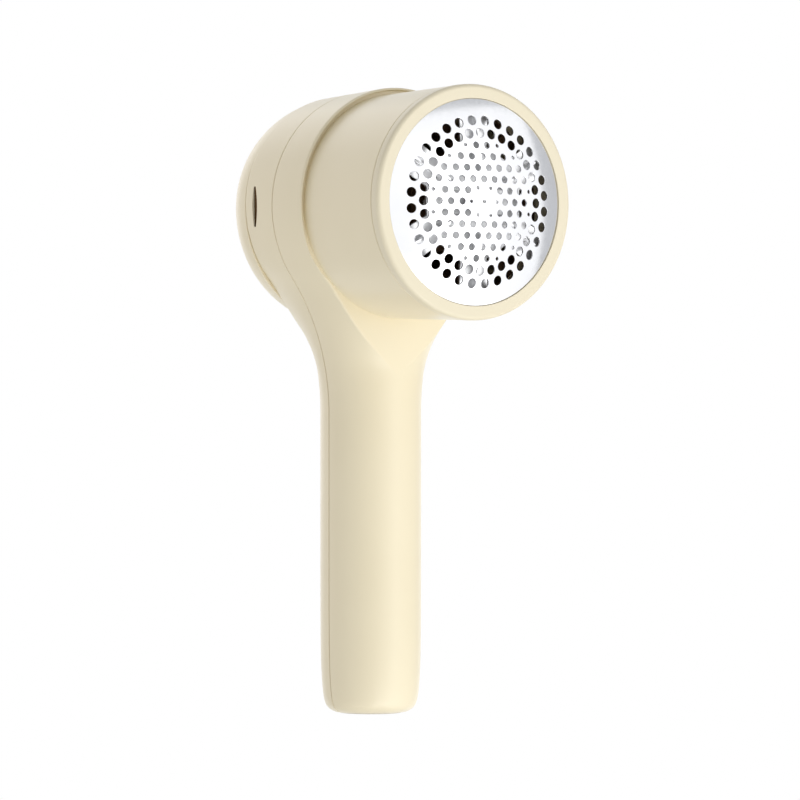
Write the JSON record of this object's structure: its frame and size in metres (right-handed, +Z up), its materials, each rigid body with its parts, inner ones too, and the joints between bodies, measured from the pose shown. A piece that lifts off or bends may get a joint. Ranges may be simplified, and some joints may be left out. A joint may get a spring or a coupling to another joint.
{
  "type": "fabric shaver",
  "caption": "Rechargeable hand-held fabric shaver with a domed perforated foil, spinning cutter, twist-off foil cap and pull-off rear lint bin.",
  "frame": {"origin": "centre of the handle's flat base", "axes": "+Z up along the handle, foil faces -Y, lint bin at +Y, +X to the right seen from the foil's side of the seam looking back along +Y"},
  "size_m": [0.0646, 0.0821, 0.1703],
  "materials": {
    "cream_abs": "satin moulded ABS, cream",
    "polished_steel": "polished stainless steel, mirror-like",
    "steel": "machined and plated steel",
    "zinc_plate": "zinc-plated sheet steel",
    "brass": "plain brass",
    "copper_winding": "enamelled copper on steel laminations",
    "nickel": "nickel strip",
    "ferrite": "sintered ferrite, dark grey",
    "black_plastic": "black moulded plastic",
    "brown_plastic": "dark brown moulded plastic",
    "seal_rubber": "soft black rubber",
    "foam": "dark grey closed-cell foam",
    "warm_grey_plastic": "satin moulded ABS, warm grey",
    "cell_sleeve": "shrink-sleeved cell, blue",
    "circuit_board": "green solder mask",
    "led_package": "LED package",
    "lens_plastic": "clear light pipe",
    "red_insulation": "red wire insulation",
    "black_insulation": "black wire insulation",
    "white_insulation": "white wire insulation"
  },
  "bodies": {
    "housing": {"front_shell": "cream_abs", "rear_shell": "cream_abs", "motor_screw_left": "steel", "motor_screw_right": "steel", "housing_screw_1": "steel", "housing_screw_2": "steel", "housing_screw_3": "steel", "housing_screw_4": "steel", "usb_socket": "steel", "motor_can": "zinc_plate", "motor_bushing": "brass", "motor_terminal_left": "brass", "motor_terminal_right": "brass", "battery_tab_top": "nickel", "battery_tab_bottom": "nickel", "motor_magnet_left": "ferrite", "motor_magnet_right": "ferrite", "motor_end_bell": "black_plastic", "switch_body": "black_plastic", "motor_mount": "brown_plastic", "lint_duct": "brown_plastic", "battery_pad": "foam", "base_plate": "warm_grey_plastic", "battery_cell": "cell_sleeve", "main_board": "circuit_board", "usb_board": "circuit_board", "status_led": "led_package", "led_lens": "lens_plastic", "wire_battery_red": "red_insulation", "wire_motor_red": "red_insulation", "wire_battery_black": "black_insulation", "wire_motor_black": "black_insulation", "wire_charging": "white_insulation"},
    "rotor": {"motor_shaft": "steel", "armature": "copper_winding", "commutator": "copper_winding", "cutter_hub": "black_plastic", "cutter_screw": "steel", "cutter": "polished_steel"},
    "foil_cap": {"foil_collar": "cream_abs", "foil": "polished_steel"},
    "lint_bin": {"lint_bin": "cream_abs", "bin_seal": "seal_rubber"},
    "power_button": {"power_button": "warm_grey_plastic"},
    "switch_plunger": {"switch_plunger": "black_plastic"}
  },
  "joints": [
    {"name": "cutter_spin", "type": "hinge", "parent": "housing", "child": "rotor", "pos_m": [0, 0, 0.138], "axis": [0, -1, 0], "continuous": true},
    {"name": "foil_cap_twist", "type": "hinge", "parent": "housing", "child": "foil_cap", "pos_m": [0, -0.0459, 0.138], "axis": [0, -1, 0], "range_deg": [0, 30]},
    {"name": "lint_bin_pull", "type": "slide", "parent": "housing", "child": "lint_bin", "axis": [0, 1, 0], "range_m": [0, 0.03]},
    {"name": "power_button_press", "type": "slide", "parent": "housing", "child": "power_button", "axis": [0, -1, 0], "range_m": [0, 0.001], "stiffness_N_per_m": 600},
    {"name": "switch_plunger_press", "type": "slide", "parent": "housing", "child": "switch_plunger", "axis": [0, -1, 0], "range_m": [0, 0.001]}
  ],
  "couplings": [
    {"joint": "switch_plunger_press", "follows": "power_button_press", "ratio": 1}
  ]
}
